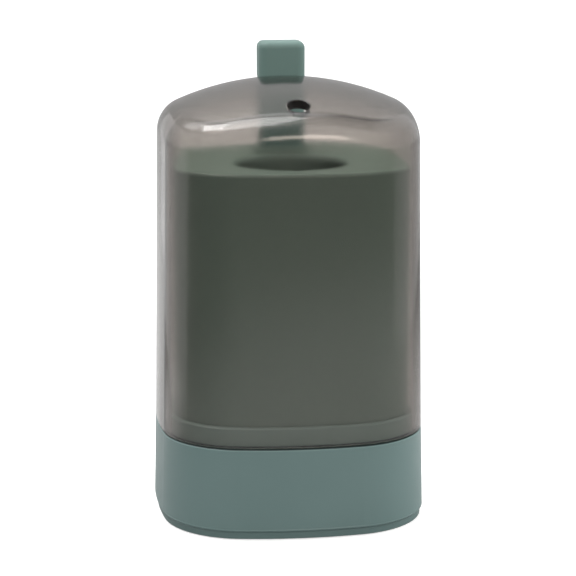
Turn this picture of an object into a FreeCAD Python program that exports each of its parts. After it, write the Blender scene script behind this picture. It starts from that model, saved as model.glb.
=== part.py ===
import FreeCAD, Part
import math
import os
import Sketcher

# Toothpick dispenser with a push button, as it stands on a table.
# A base with the lever works carries an inner container; a clear smoked cover lifts off over
# both. Pressing the square button at the back tips a rocker in the base, and its front end
# lifts one pick from the round well through the outlet in the cover's shoulder.
# +Z is up, the outlet is towards -Y, and the origin is on the table under the middle.

SIZES = [
    # outline of the body, seen from above, at the seam between base and cover
    ("seam_half", 34.0),
    ("side_radius", 100.0),
    ("corner_radius", 21.0),
    # clearances
    ("running_gap", 0.3),
    ("seat_gap", 0.1),
    # feet and bottom cover
    ("pad_radius", 4.5),
    ("pad_proud", 0.25),
    ("pad_recess", 0.8),
    ("pad_edge_round", 0.15),
    ("pad_margin", 1.65),
    ("bottom_cover_thick", 1.8),
    ("bottom_cover_inset", 0.6),
    ("bottom_rim_height", 1.6),
    ("bottom_rim_wall", 1.2),
    ("spring_post_height", 3.6),
    # base housing
    ("base_flare", 0.5),
    ("base_wall", 2.0),
    ("base_edge_round", 0.4),
    ("base_foot_round", 0.4),
    ("deck_thick", 2.0),
    ("seam_height", 23.4),
    ("seam_gap_height", 0.5),
    ("seam_gap_depth", 0.8),
    ("spigot_height", 4.6),
    ("spigot_wall", 1.0),
    ("spigot_gap", 0.35),
    ("spigot_lead", 0.4),
    ("boss_radius", 3.0),
    ("boss_margin", 4.5),
    ("boss_along", 11.0),
    # screws
    ("screw_shank_radius", 1.1),
    ("screw_head_radius", 2.2),
    ("screw_head_height", 0.9),
    ("screw_length", 9.0),
    ("screw_hole_gap", 0.05),
    ("container_boss_radius", 3.6),
    ("container_boss_height", 12.0),
    # smoked cover
    ("cover_wall", 2.0),
    ("cover_draft", 1.5),
    ("crown_over_plate", 20.4),
    ("crown_radius", 68.8),
    ("shoulder_radius", 8.6),
    ("outlet_radius", 2.7),
    ("outlet_lead", 1.4),
    ("outlet_edge_round", 0.4),
    ("button_gap", 0.5),
    # inner container and its well
    ("container_gap", 1.6),
    ("container_wall", 1.4),
    ("plate_height", 90.3),
    ("plate_thick", 1.6),
    ("plate_edge_round", 1.0),
    ("well_from_front", 7.8),
    ("well_to_sleeve", 0.65),
    ("well_wall", 1.4),
    ("well_mouth_round", 1.2),
    ("groove_radius", 1.6),
    ("groove_reach", 0.6),
    ("sleeve_collar_height", 1.2),
    ("sleeve_wall", 1.4),
    # floor of the well
    ("floor_flange_thick", 1.6),
    ("floor_low_rise", 2.6),
    ("floor_high_rise", 7.5),
    ("lifter_hole_radius", 1.35),
    # button and its column
    ("button_width", 12.0),
    ("button_depth", 8.8),
    ("button_corner", 2.2),
    ("button_from_back", 17.2),
    ("button_rim_drop", 1.25),
    ("button_height", 9.3),
    ("button_top_round", 1.7),
    ("button_rim_round", 0.4),
    ("button_wall", 1.3),
    ("button_plug_depth", 4.0),
    ("column_inset", 0.15),
    ("column_wall", 1.2),
    ("column_flange_width", 15.4),
    ("column_partition", 1.6),
    ("column_nub_height", 1.8),
    ("column_nub_half", 1.5),
    ("spring_ceiling", 34.0),
    ("press_travel", 8.0),
    # rocker and its pin
    ("pivot_pin_radius", 1.5),
    ("pivot_pin_gap", 0.05),
    ("pivot_ear_thick", 2.5),
    ("pivot_ear_half", 3.4),
    ("rocker_hub_radius", 3.2),
    ("rocker_hub_width", 14.0),
    ("rocker_tip_radius", 1.5),
    ("rocker_neck_radius", 0.9),
    ("rocker_arm_width", 5.0),
    ("rocker_fork_width", 12.0),
    ("rocker_fork_gap", 8.8),
    ("rocker_fork_root", 5.6),
    ("tip_gap", 0.3),
    ("tip_floor_gap", 0.47),
    # lifter
    ("lifter_travel", 15.87),
    ("lifter_top_gap", 0.45),
    ("lifter_pin_radius", 1.1),
    ("lifter_foot_size", 9.0),
    ("lifter_foot_thick", 2.0),
    ("lifter_foot_corner", 1.0),
    ("lifter_nub_height", 1.2),
    ("lifter_nub_half", 2.2),
    ("lifter_boss_radius", 2.2),
    ("lifter_boss_height", 1.8),
    ("lifter_pin_seat", 3.4),
    ("lifter_pin_below_floor", 0.3),
    # return spring
    ("spring_wire_radius", 0.35),
    ("spring_mean_radius", 2.3),
    ("spring_seat", 0.05),
]
SPRING_TURNS = 12
ARCS_PER_TURN = 2
CUT_OVERRUN = 1.0

doc = FreeCAD.newDocument("toothpick_dispenser")
sheet = doc.addObject("Spreadsheet::Sheet", "sizes")
for row, (alias, number) in enumerate(SIZES, start=1):
    sheet.set(f"A{row}", alias)
    sheet.set(f"B{row}", str(number))
    sheet.setAlias(f"B{row}", alias)
sheet.set(f"A{len(SIZES) + 1}", "overrun")
sheet.set(f"B{len(SIZES) + 1}", str(CUT_OVERRUN))
sheet.setAlias(f"B{len(SIZES) + 1}", "overrun")
doc.recompute()


class Size:
    """A size from the sheet, or a sum of such sizes, with the expression that gives it."""

    def __init__(self, number, text):
        self.number = float(number)
        self.text = text

    def joined(self, sign, other, number):
        text = other.text if isinstance(other, Size) else str(other)
        return Size(number, f"({self.text} {sign} {text})")

    def __add__(self, other):
        return self.joined("+", other, self.number + plain(other))

    def __sub__(self, other):
        return self.joined("-", other, self.number - plain(other))

    def __mul__(self, other):
        return self.joined("*", other, self.number * plain(other))

    def __truediv__(self, other):
        return self.joined("/", other, self.number / plain(other))

    def __neg__(self):
        return Size(-self.number, f"(-{self.text})")


def plain(value):
    return value.number if isinstance(value, Size) else float(value)


def size(alias):
    return Size(sheet.get(alias), f"sizes.{alias}")


def turn_for(ratio):
    """The angle in degrees whose sine is the ratio."""
    return Size(math.degrees(math.asin(ratio.number)), f"asin({ratio.text})")


def lean_for(inwards, height):
    """The angle in degrees that brings a side inwards by so much over the height."""
    return Size(
        math.degrees(math.atan(inwards.number / height.number)),
        f"atan({inwards.text} / {height.text})",
    )


def root(value):
    return Size(math.sqrt(value.number), f"sqrt({value.text})")


def bind(item, prop, value):
    item.setExpression(prop, value.text)


def vector(x=0, y=0, z=0):
    return FreeCAD.Vector(plain(x), plain(y), plain(z))


UP = FreeCAD.Vector(0, 0, 1)
START_INDEX, END_INDEX, CENTRE_INDEX = 1, 2, 3
ORIGIN_INDEX, X_AXIS_INDEX, Y_AXIS_INDEX = -1, -1, -2
SAME = 0.001


# Bodies, sketches and the outlines that more than one piece uses

def new_body(label):
    body = doc.addObject("PartDesign::Body", label)
    body.Label = label
    body.AllowCompound = True
    return body


def own_plane(body, role):
    return next(plane for plane in body.Origin.OriginFeatures if plane.Role == role)


def sketch_on(body, name, role="XY_Plane", level=None):
    """A sketch on one of the body's own planes, raised to a level if one is given."""
    drawn = body.newObject("Sketcher::SketchObject", f"{body.Label}_{name}")
    drawn.AttachmentSupport = (own_plane(body, role), [""])
    drawn.MapMode = "FlatFace"
    if level is not None:
        bind(drawn, ".AttachmentOffset.Base.z", level)
    return drawn


def fix(drawn, kind, where, value):
    """Adds a constraint whose value follows the sheet."""
    index = drawn.addConstraint(Sketcher.Constraint(kind, *where, value.number))
    drawn.setExpression(f"Constraints[{index}]", value.text)


def place(drawn, shape, point, x, y):
    """Holds a point at x and y from the sketch's origin; zero keeps it on that axis."""
    for kind, axis, value in (("DistanceX", Y_AXIS_INDEX, x), ("DistanceY", X_AXIS_INDEX, y)):
        if not isinstance(value, Size):
            drawn.addConstraint(Sketcher.Constraint("PointOnObject", shape, point, axis))
        elif value.number > 0:
            fix(drawn, kind, (ORIGIN_INDEX, START_INDEX, shape, point), value)
        else:
            fix(drawn, kind, (shape, point, ORIGIN_INDEX, START_INDEX), -value)


def join(drawn, shapes):
    """Joins each shape's end to the next one's start, smoothly."""
    for here, after in zip(shapes, shapes[1:] + shapes[:1]):
        drawn.addConstraint(Sketcher.Constraint("Tangent", here, END_INDEX, after, START_INDEX))


def draw_circle(drawn, x, y, radius):
    ring = Part.Circle(vector(x, y), UP, radius.number)
    index = drawn.addGeometry(ring)
    place(drawn, index, CENTRE_INDEX, x, y)
    fix(drawn, "Radius", (index,), radius)


def draw_polygon(drawn, points):
    """A closed outline of straight sides through the points."""
    corners = [vector(x, y) for x, y in points]
    sides = []
    for here, after in zip(corners, corners[1:] + corners[:1]):
        sides.append(drawn.addGeometry(Part.LineSegment(here, after)))
    for here, after in zip(sides, sides[1:] + sides[:1]):
        drawn.addConstraint(Sketcher.Constraint("Coincident", here, END_INDEX, after, START_INDEX))
    for side, (x, y) in zip(sides, points):
        place(drawn, side, START_INDEX, x, y)


def draw_arc(drawn, centre, radius, start, end):
    return drawn.addGeometry(Part.ArcOfCircle(Part.Circle(centre, UP, radius), start, end))


def draw_rounded_box(drawn, y, width, depth, corner):
    """A rounded rectangle, centred at y on the sketch's Y axis."""
    half_turn = math.pi
    across = width / 2 - corner
    along = depth / 2 - corner
    centres = [(across, y + along), (-across, y + along), (-across, y - along), (across, y - along)]
    shapes = []
    for quarter, (cx, cy) in enumerate(centres):
        start = quarter * half_turn / 2
        middle = vector(cx, cy)
        arc = draw_arc(drawn, middle, corner.number, start, start + half_turn / 2)
        shapes.append(arc)
        after = vector(*centres[(quarter + 1) % len(centres)])
        out = vector(math.cos(start + half_turn / 2), math.sin(start + half_turn / 2)) * corner.number
        shapes.append(drawn.addGeometry(Part.LineSegment(middle + out, after + out)))
    join(drawn, shapes)
    for arc, (cx, cy) in zip(shapes[::2], centres):
        place(drawn, arc, CENTRE_INDEX, cx, cy)
        fix(drawn, "Radius", (arc,), corner)


def draw_footprint(drawn, half):
    """The body's outline, a square of four bowed sides, drawn in or out to a half width."""
    inset = size("seam_half") - half
    side = size("side_radius") - inset
    corner = size("corner_radius") - inset
    back = side - half
    reach = side.number - corner.number
    diagonal = (math.sqrt(2 * reach**2 - back.number**2) - back.number) / 2
    swing = math.atan2(diagonal, diagonal + back.number)
    quarter = math.pi / 2
    shapes = []
    for turn in range(4):
        around = turn * quarter
        middle = vector(math.cos(around), math.sin(around)) * -back.number
        shapes.append(draw_arc(drawn, middle, side.number, around - swing, around + swing))
        spot = vector(
            diagonal * (math.cos(around) - math.sin(around)),
            diagonal * (math.sin(around) + math.cos(around)),
        )
        shapes.append(draw_arc(drawn, spot, corner.number, around + swing, around + quarter - swing))
    join(drawn, shapes)
    for arc, (x, y) in zip(shapes[::2], [(-back, 0), (0, -back), (back, 0), (0, back)]):
        place(drawn, arc, CENTRE_INDEX, x, y)
        fix(drawn, "Radius", (arc,), side)
    for arc in shapes[1::2]:
        fix(drawn, "Radius", (arc,), corner)


def draw_lever(drawn, start, start_radius, end, end_radius):
    """Two round ends on the sketch's X axis, joined by the lines that touch both."""
    slope = math.asin((start_radius.number - end_radius.number) / abs(end.number - plain(start)))
    way = 1 if end.number > plain(start) else -1
    lean = math.pi / 2 - slope
    first, last = vector(start), vector(end)
    turned = 0 if way > 0 else math.pi
    near = draw_arc(drawn, first, start_radius.number, turned + lean, turned - lean + 2 * math.pi)
    far = draw_arc(drawn, last, end_radius.number, turned - lean, turned + lean)

    def rim(centre, radius, angle):
        return centre + vector(math.cos(angle), math.sin(angle)) * radius.number

    low = drawn.addGeometry(
        Part.LineSegment(
            rim(first, start_radius, turned - lean), rim(last, end_radius, turned - lean)
        )
    )
    top = drawn.addGeometry(
        Part.LineSegment(
            rim(last, end_radius, turned + lean), rim(first, start_radius, turned + lean)
        )
    )
    join(drawn, [near, low, far, top])
    place(drawn, near, CENTRE_INDEX, start, 0)
    place(drawn, far, CENTRE_INDEX, end, 0)
    fix(drawn, "Radius", (near,), start_radius)
    fix(drawn, "Radius", (far,), end_radius)


def pad(body, drawn, length, both_ways=False):
    feature = body.newObject("PartDesign::Pad", f"{drawn.Label}_pad")
    feature.Profile = drawn
    feature.Midplane = both_ways
    bind(feature, "Length", length)
    return settle(body, feature)


def pocket(body, drawn, length, upwards=False, both_ways=False):
    """Cuts the sketch out of the body: downwards from its plane, or upwards."""
    before = body.Shape.Volume
    feature = body.newObject("PartDesign::Pocket", f"{drawn.Label}_pocket")
    feature.Profile = drawn
    feature.Reversed = upwards
    feature.Midplane = both_ways
    bind(feature, "Length", length)
    settle(body, feature)
    if body.Shape.Volume >= before:
        raise ValueError(f"{drawn.Label} cuts nothing")
    return feature


def draft_sides(body, foot_level, lean):
    """Leans the upright sides of the body inwards, above the level where they stay."""
    sides = [f"Face{n}" for n, face in enumerate(body.Shape.Faces, start=1)
             if isinstance(face.Surface, Part.Cylinder)]
    base = body.Tip
    neutral = body.newObject("PartDesign::Plane", f"{body.Label}_neutral")
    neutral.AttachmentSupport = (own_plane(body, "XY_Plane"), [""])
    neutral.MapMode = "FlatFace"
    bind(neutral, ".AttachmentOffset.Base.z", foot_level)
    doc.recompute()
    feature = body.newObject("PartDesign::Draft", f"{body.Label}_draft")
    feature.Base = (base, sides)
    feature.NeutralPlane = (neutral, [""])
    bind(feature, "Angle", lean)
    return settle(body, feature)


def round_edges(body, kind, value, wanted):
    """A fillet or chamfer on the edges of the body that the test wanted picks."""
    base = body.Tip
    names = [f"Edge{n}" for n, edge in enumerate(base.Shape.Edges, start=1) if wanted(edge)]
    if not names:
        raise ValueError(f"{body.Label} has no such edges")
    feature = body.newObject(f"PartDesign::{kind}", f"{body.Label}_{kind}")
    feature.Base = (base, names)
    bind(feature, "Radius" if kind == "Fillet" else "Size", value)
    return settle(body, feature)


def settle(body, feature):
    body.Tip = feature
    doc.recompute()
    return feature


def at_level(level):
    """Picks the flat edges at one height."""
    def wanted(edge):
        box = edge.BoundBox
        return max(abs(box.ZMin - level.number), abs(box.ZMax - level.number)) < SAME

    return wanted


def corner_reach(half):
    """How far the outline of this half width reaches along its diagonal."""
    back = size("side_radius") - size("seam_half")
    reach = size("side_radius") - size("corner_radius")
    centre = (root(reach * reach * 2 - back * back) - back) / 2
    return centre * math.sqrt(2) + size("corner_radius") - size("seam_half") + half


# Heights and places that several pieces share
foot_height = size("pad_proud") + size("bottom_cover_thick")
seam_height = size("seam_height")
deck_under = seam_height - size("deck_thick")
plate_height = size("plate_height")
plate_under = plate_height - size("plate_thick")
crown_height = plate_height + size("crown_over_plate")
rim_height = crown_height - size("button_rim_drop")
button_top = rim_height + size("button_height")
base_inner_half = size("seam_half") - size("base_wall")
bottom_half = size("seam_half") + size("base_flare") - size("bottom_cover_inset")
spigot_half = size("seam_half") - size("cover_wall") - size("spigot_gap")
container_half = size("seam_half") - size("cover_wall") - size("container_gap")

# The sleeve stands near the back of the container, and the well fills what is left before it
button_y = container_half - size("button_from_back")
sleeve_width = size("button_width") + (size("running_gap") - size("column_inset")) * 2
sleeve_depth = size("button_depth") + (size("running_gap") - size("column_inset")) * 2
well_front = size("well_from_front") - container_half
well_back = button_y - sleeve_depth / 2 - size("sleeve_wall") - size("well_wall") - size("well_to_sleeve")
well_radius = (well_back - well_front) / 2
well_y = (well_back + well_front) / 2
pick_y = well_front - size("groove_reach")
outlet_y = pick_y - size("outlet_lead")

# The pivot divides the way from the column to the lifter in the ratio of their travels, and
# the rocker swings evenly to both sides of level
press_travel = size("press_travel")
lifter_travel = size("lifter_travel")
rear_arm = (button_y - pick_y) * press_travel / (press_travel + lifter_travel)
front_arm = (button_y - pick_y) * lifter_travel / (press_travel + lifter_travel)
rocker_angle = turn_for(press_travel / 2 / rear_arm)
pivot_y = button_y - rear_arm
pivot_z = foot_height + size("tip_floor_gap") + size("rocker_tip_radius") + lifter_travel / 2
column_foot = pivot_z + press_travel / 2 + size("rocker_tip_radius") + size("tip_gap")
lifter_foot_under = pivot_z - lifter_travel / 2 + size("rocker_tip_radius") + size("tip_gap")
shoe_under = lifter_foot_under + size("lifter_nub_height")
lifter_top = shoe_under + size("lifter_foot_thick") + size("lifter_boss_height")
flange_under = lifter_top + lifter_travel + size("lifter_top_gap")
well_tube_foot = flange_under + size("floor_flange_thick")
floor_low = well_tube_foot + size("floor_low_rise")
floor_high = well_tube_foot + size("floor_high_rise")


def in_corners(reach):
    """Four places on the diagonals, this far from the middle."""
    step = reach / math.sqrt(2)
    return [(across, along) for across in (-step, step) for along in (-step, step)]


boss_across = base_inner_half - size("boss_radius") - size("boss_margin")
screw_places = [
    (across, along)
    for across in (-boss_across, boss_across)
    for along in (-size("boss_along"), size("boss_along"))
]
container_boss_places = in_corners(
    corner_reach(container_half) - size("container_wall") / 2 - size("container_boss_radius")
)
pad_places = in_corners(corner_reach(bottom_half) - size("pad_radius") - size("pad_margin"))
screw_core = size("screw_shank_radius") + size("screw_hole_gap")


# Base housing: moulded shell, open below, whose deck stands a little above the rim so that a
# shadow gap is left under the cover; a spigot on the deck holds the cover
base = new_body("base_housing")
foot = sketch_on(base, "foot", level=foot_height)
base_rim = seam_height - size("seam_gap_height")
draw_footprint(foot, size("seam_half") + size("base_flare"))
pad(base, foot, base_rim - foot_height)
draft_sides(base, foot_height, lean_for(size("base_flare"), seam_height - foot_height))
round_edges(base, "Fillet", size("base_edge_round"), at_level(base_rim))
round_edges(base, "Fillet", size("base_foot_round"), at_level(foot_height))
deck = sketch_on(base, "deck", level=base_rim)
draw_footprint(deck, size("seam_half") - size("seam_gap_depth"))
pad(base, deck, size("seam_gap_height"))
cavity = sketch_on(base, "cavity", level=foot_height)
draw_footprint(cavity, base_inner_half)
pocket(base, cavity, deck_under - foot_height, upwards=True)
spigot = sketch_on(base, "spigot", level=seam_height)
draw_footprint(spigot, spigot_half)
draw_footprint(spigot, spigot_half - size("spigot_wall"))
pad(base, spigot, size("spigot_height"))
round_edges(base, "Chamfer", size("spigot_lead"), lambda edge: (
    at_level(seam_height + size("spigot_height"))(edge)
    and max(abs(edge.BoundBox.XMax), abs(edge.BoundBox.XMin), abs(edge.BoundBox.YMax),
            abs(edge.BoundBox.YMin)) > (spigot_half - size("spigot_wall") / 2).number
))
bosses = sketch_on(base, "bosses", level=foot_height + size("seat_gap"))
for across, along in screw_places:
    draw_circle(bosses, across, along, size("boss_radius"))
pad(base, bosses, deck_under - foot_height)
ear_inner = size("rocker_hub_width") / 2 + size("running_gap") - size("seat_gap")
ear_foot = pivot_z - size("pivot_ear_half")
ears = sketch_on(base, "ears", level=ear_foot)
for side in (1, -1):
    near = ear_inner * side
    far = (ear_inner + size("pivot_ear_thick")) * side
    ear_front = pivot_y - size("pivot_ear_half")
    ear_back = pivot_y + size("pivot_ear_half")
    draw_polygon(ears, [(near, ear_front), (far, ear_front), (far, ear_back), (near, ear_back)])
pad(base, ears, deck_under - ear_foot + size("deck_thick") / 2)
pin_holes = sketch_on(base, "pin_holes", role="YZ_Plane")
draw_circle(pin_holes, pivot_y, pivot_z, size("pivot_pin_radius"))
pocket(base, pin_holes, (ear_inner + size("pivot_ear_thick") + size("overrun")) * 2, both_ways=True)
lifter_slot = sketch_on(base, "lifter_slot", level=seam_height + size("overrun"))
slot_width = size("lifter_foot_size") + size("running_gap") * 4
draw_rounded_box(lifter_slot, pick_y, slot_width, slot_width, size("lifter_foot_corner"))
pocket(base, lifter_slot, size("deck_thick") + size("overrun") * 2)
column_slot = sketch_on(base, "column_slot", level=seam_height + size("overrun"))
draw_rounded_box(column_slot, button_y, sleeve_width, sleeve_depth, size("button_corner"))
pocket(base, column_slot, size("deck_thick") + size("overrun") * 2)
cover_screw_holes = sketch_on(base, "cover_screw_holes", level=foot_height)
for across, along in screw_places:
    draw_circle(cover_screw_holes, across, along, screw_core)
pocket(base, cover_screw_holes, size("screw_length") + size("overrun"), upwards=True)
deck_holes = sketch_on(base, "deck_holes", level=deck_under)
for across, along in container_boss_places:
    draw_circle(deck_holes, across, along, screw_core)
pocket(base, deck_holes, size("deck_thick") + size("overrun"), upwards=True)

# Bottom cover: flat moulding that closes the base from below, with a post for the spring
bottom = new_body("bottom_cover")
plate = sketch_on(bottom, "plate", level=size("pad_proud"))
draw_footprint(plate, bottom_half)
pad(bottom, plate, size("bottom_cover_thick"))
rim = sketch_on(bottom, "rim", level=foot_height)
draw_footprint(rim, base_inner_half - size("seat_gap"))
draw_footprint(rim, base_inner_half - size("seat_gap") - size("bottom_rim_wall"))
pad(bottom, rim, size("bottom_rim_height"))
spring_post = sketch_on(bottom, "spring_post", level=foot_height)
post_radius = size("spring_mean_radius") - size("spring_wire_radius") - size("running_gap")
draw_circle(spring_post, 0, button_y, post_radius)
pad(bottom, spring_post, size("spring_post_height"))
recesses = sketch_on(bottom, "pad_recesses", level=size("pad_proud"))
for across, along in pad_places:
    draw_circle(recesses, across, along, size("pad_radius") + size("seat_gap"))
pocket(bottom, recesses, size("pad_recess"), upwards=True)
head_recess = size("screw_head_height") + size("seat_gap")
head_holes = sketch_on(bottom, "head_holes", level=size("pad_proud"))
shank_holes = sketch_on(bottom, "shank_holes", level=size("pad_proud"))
for across, along in screw_places:
    draw_circle(head_holes, across, along, size("screw_head_radius") + size("seat_gap"))
    draw_circle(shank_holes, across, along, size("screw_shank_radius") + size("seat_gap"))
pocket(bottom, head_holes, head_recess, upwards=True)
pocket(bottom, shank_holes, size("bottom_cover_thick") + size("overrun"), upwards=True)

# Anti-slip pads: four soft discs pressed into the recesses of the bottom cover
table = size("pad_proud") * 0
pad_names = ["front_left_pad", "rear_left_pad", "front_right_pad", "rear_right_pad"]
for name, (across, along) in zip(pad_names, pad_places):
    disc = new_body(name)
    outline = sketch_on(disc, "outline")
    draw_circle(outline, across, along, size("pad_radius"))
    pad(disc, outline, size("pad_proud") + size("pad_recess"))
    round_edges(disc, "Fillet", size("pad_edge_round"), at_level(table))


def screw_group(label, places, head_top):
    """Like screws, heads down: each a round head with its bearing face at head_top, and a shank."""
    group = new_body(label)
    heads = sketch_on(group, "heads", level=head_top - size("screw_head_height"))
    shanks = sketch_on(group, "shanks", level=head_top)
    for across, along in places:
        draw_circle(heads, across, along, size("screw_head_radius"))
        draw_circle(shanks, across, along, size("screw_shank_radius"))
    pad(group, heads, size("screw_head_height"))
    pad(group, shanks, size("screw_length"))
    round_edges(group, "Fillet", size("screw_head_height") / 3,
                at_level(head_top - size("screw_head_height")))
    return group


# Screws: four hold the bottom cover from below, four hold the container on the deck
screw_group("bottom_screws", screw_places, size("pad_proud") + head_recess)
screw_group("container_screws", container_boss_places, deck_under)

# Inner container: box with a flat top plate, the round well and the button's square sleeve
container = new_body("inner_container")
block = sketch_on(container, "block", level=seam_height)
draw_footprint(block, container_half)
pad(container, block, plate_height - seam_height)
round_edges(container, "Fillet", size("plate_edge_round"), at_level(plate_height))
inside = sketch_on(container, "inside", level=seam_height)
draw_footprint(inside, container_half - size("container_wall"))
pocket(container, inside, plate_under - seam_height, upwards=True)
well_tube = sketch_on(container, "well_tube", level=well_tube_foot)
draw_circle(well_tube, 0, well_y, well_radius + size("well_wall"))
tube_height = plate_height - size("plate_thick") / 2 - well_tube_foot
pad(container, well_tube, tube_height)
groove_tube = sketch_on(container, "groove_tube", level=well_tube_foot)
draw_circle(groove_tube, 0, pick_y, size("groove_radius") + size("well_wall"))
pad(container, groove_tube, tube_height)
sleeve = sketch_on(container, "sleeve", level=seam_height)
sleeve_outer_width = sleeve_width + size("sleeve_wall") * 2
sleeve_outer_depth = sleeve_depth + size("sleeve_wall") * 2
sleeve_outer_corner = size("button_corner") + size("sleeve_wall")
draw_rounded_box(sleeve, button_y, sleeve_outer_width, sleeve_outer_depth, sleeve_outer_corner)
pad(container, sleeve, plate_height + size("sleeve_collar_height") - seam_height)
round_edges(container, "Fillet", size("sleeve_wall") / 3,
            at_level(plate_height + size("sleeve_collar_height")))
container_bosses = sketch_on(container, "bosses", level=seam_height)
for across, along in container_boss_places:
    draw_circle(container_bosses, across, along, size("container_boss_radius"))
pad(container, container_bosses, size("container_boss_height"))
well = sketch_on(container, "well", level=plate_height + size("overrun"))
draw_circle(well, 0, well_y, well_radius)
well_depth = plate_height - well_tube_foot + size("overrun") * 2
pocket(container, well, well_depth)
round_edges(container, "Fillet", size("well_mouth_round"), lambda edge: (
    at_level(plate_height)(edge)
    and isinstance(edge.Curve, Part.Circle)
    and abs(edge.Curve.Radius - well_radius.number) < SAME
))
groove = sketch_on(container, "groove", level=plate_height + size("overrun"))
draw_circle(groove, 0, pick_y, size("groove_radius"))
pocket(container, groove, well_depth)
sleeve_bore = sketch_on(container, "sleeve_bore",
                        level=plate_height + size("sleeve_collar_height") + size("overrun"))
draw_rounded_box(sleeve_bore, button_y, sleeve_width, sleeve_depth, size("button_corner"))
pocket(container, sleeve_bore,
       plate_height + size("sleeve_collar_height") - seam_height + size("overrun") * 2)
container_screw_holes = sketch_on(container, "screw_holes", level=seam_height)
for across, along in container_boss_places:
    draw_circle(container_screw_holes, across, along, screw_core)
pocket(container, container_screw_holes, size("screw_length"), upwards=True)

# Floor of the well: plug with a flange, its top sloping down to the lifter's hole in front
floor = new_body("well_floor")
flange = sketch_on(floor, "flange", level=flange_under)
draw_circle(flange, 0, well_y, well_radius + size("well_wall"))
pad(floor, flange, size("floor_flange_thick"))
lug = sketch_on(floor, "lug", level=flange_under)
draw_circle(lug, 0, pick_y, size("groove_radius") + size("well_wall"))
pad(floor, lug, size("floor_flange_thick"))
plug = sketch_on(floor, "plug", level=flange_under)
draw_circle(plug, 0, well_y, well_radius - size("seat_gap"))
pad(floor, plug, floor_high - flange_under)
groove_plug = sketch_on(floor, "groove_plug", level=flange_under)
draw_circle(groove_plug, 0, pick_y, size("groove_radius") - size("seat_gap"))
pad(floor, groove_plug, floor_high - flange_under)
slope = sketch_on(floor, "slope", role="YZ_Plane")
slope_front = pick_y - size("groove_radius") - size("overrun")
slope_back = well_y + well_radius + size("overrun")
slope_top = floor_high + size("overrun")
draw_polygon(slope, [
    (slope_front, floor_low),
    (pick_y + size("lifter_hole_radius"), floor_low),
    (slope_back, floor_high),
    (slope_back, slope_top),
    (slope_front, slope_top),
])
pocket(floor, slope, (well_radius + size("overrun")) * 2, both_ways=True)
lifter_hole = sketch_on(floor, "lifter_hole", level=flange_under)
draw_circle(lifter_hole, 0, pick_y, size("lifter_hole_radius"))
pocket(floor, lifter_hole, floor_high - flange_under, upwards=True)

# Rocker pin: steel cross pin, held in the two ears under the deck
pin = new_body("rocker_pin")
pin_end = sketch_on(pin, "end", role="YZ_Plane")
draw_circle(pin_end, pivot_y, pivot_z, size("pivot_pin_radius"))
pad(pin, pin_end, (ear_inner + size("pivot_ear_thick")) * 2, both_ways=True)
round_edges(pin, "Chamfer", size("seat_gap") * 3, lambda edge: isinstance(edge.Curve, Part.Circle))

# Rocker: moulded lever, one narrow arm in front and a fork behind that straddles the spring
rocker = new_body("rocker_lever")
front = sketch_on(rocker, "front_arm", role="YZ_Plane")
draw_lever(front, 0, size("rocker_hub_radius"), -front_arm, size("rocker_neck_radius"))
pad(rocker, front, size("rocker_arm_width"), both_ways=True)
rear = sketch_on(rocker, "rear_arm", role="YZ_Plane")
draw_lever(rear, 0, size("rocker_hub_radius"), rear_arm, size("rocker_neck_radius"))
pad(rocker, rear, size("rocker_fork_width"), both_ways=True)
front_tip = sketch_on(rocker, "front_tip", role="YZ_Plane")
draw_circle(front_tip, -front_arm, 0, size("rocker_tip_radius"))
pad(rocker, front_tip, size("rocker_arm_width"), both_ways=True)
rear_tips = sketch_on(rocker, "rear_tips", role="YZ_Plane")
draw_circle(rear_tips, rear_arm, 0, size("rocker_tip_radius"))
pad(rocker, rear_tips, size("rocker_fork_width"), both_ways=True)
hub = sketch_on(rocker, "hub", role="YZ_Plane")
draw_circle(hub, 0, 0, size("rocker_hub_radius"))
pad(rocker, hub, size("rocker_hub_width"), both_ways=True)
fork = sketch_on(rocker, "fork", level=size("rocker_hub_radius") + size("overrun"))
fork_end = rear_arm + size("rocker_tip_radius") + size("overrun")
fork_middle = (size("rocker_fork_root") + fork_end) / 2
draw_rounded_box(fork, fork_middle, size("rocker_fork_gap"),
                 fork_end - size("rocker_fork_root"), size("rocker_tip_radius"))
pocket(rocker, fork, (size("rocker_hub_radius") + size("overrun")) * 2)
pivot_bore = sketch_on(rocker, "pivot_bore", role="YZ_Plane")
draw_circle(pivot_bore, 0, 0, size("pivot_pin_radius") + size("pivot_pin_gap"))
pocket(rocker, pivot_bore, size("rocker_hub_width") + size("overrun"), both_ways=True)
rocker.Placement = FreeCAD.Placement(
    vector(0, pivot_y, pivot_z), FreeCAD.Rotation(FreeCAD.Vector(1, 0, 0), rocker_angle.number)
)
bind(rocker, ".Placement.Base.y", pivot_y)
bind(rocker, ".Placement.Base.z", pivot_z)
bind(rocker, ".Placement.Rotation.Angle", rocker_angle)

# Lifter: a square foot over the rocker's front tip, with a steel pin standing in its boss
lifter = new_body("lifter_foot")
shoe = sketch_on(lifter, "shoe", level=shoe_under)
draw_rounded_box(shoe, pick_y, size("lifter_foot_size"), size("lifter_foot_size"),
                 size("lifter_foot_corner"))
pad(lifter, shoe, size("lifter_foot_thick"))
nub = sketch_on(lifter, "nub", level=lifter_foot_under)
draw_rounded_box(nub, pick_y, size("rocker_arm_width"), size("lifter_nub_half") * 2,
                 size("lifter_foot_corner") / 2)
pad(lifter, nub, size("lifter_nub_height") + size("lifter_foot_thick") / 2)
boss = sketch_on(lifter, "boss", level=shoe_under + size("lifter_foot_thick") / 2)
draw_circle(boss, 0, pick_y, size("lifter_boss_radius"))
pad(lifter, boss, size("lifter_boss_height") + size("lifter_foot_thick") / 2)
round_edges(lifter, "Fillet", size("lifter_boss_radius") / 5, at_level(lifter_top))
seat = sketch_on(lifter, "pin_seat", level=lifter_top + size("overrun"))
draw_circle(seat, 0, pick_y, size("lifter_pin_radius"))
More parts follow.
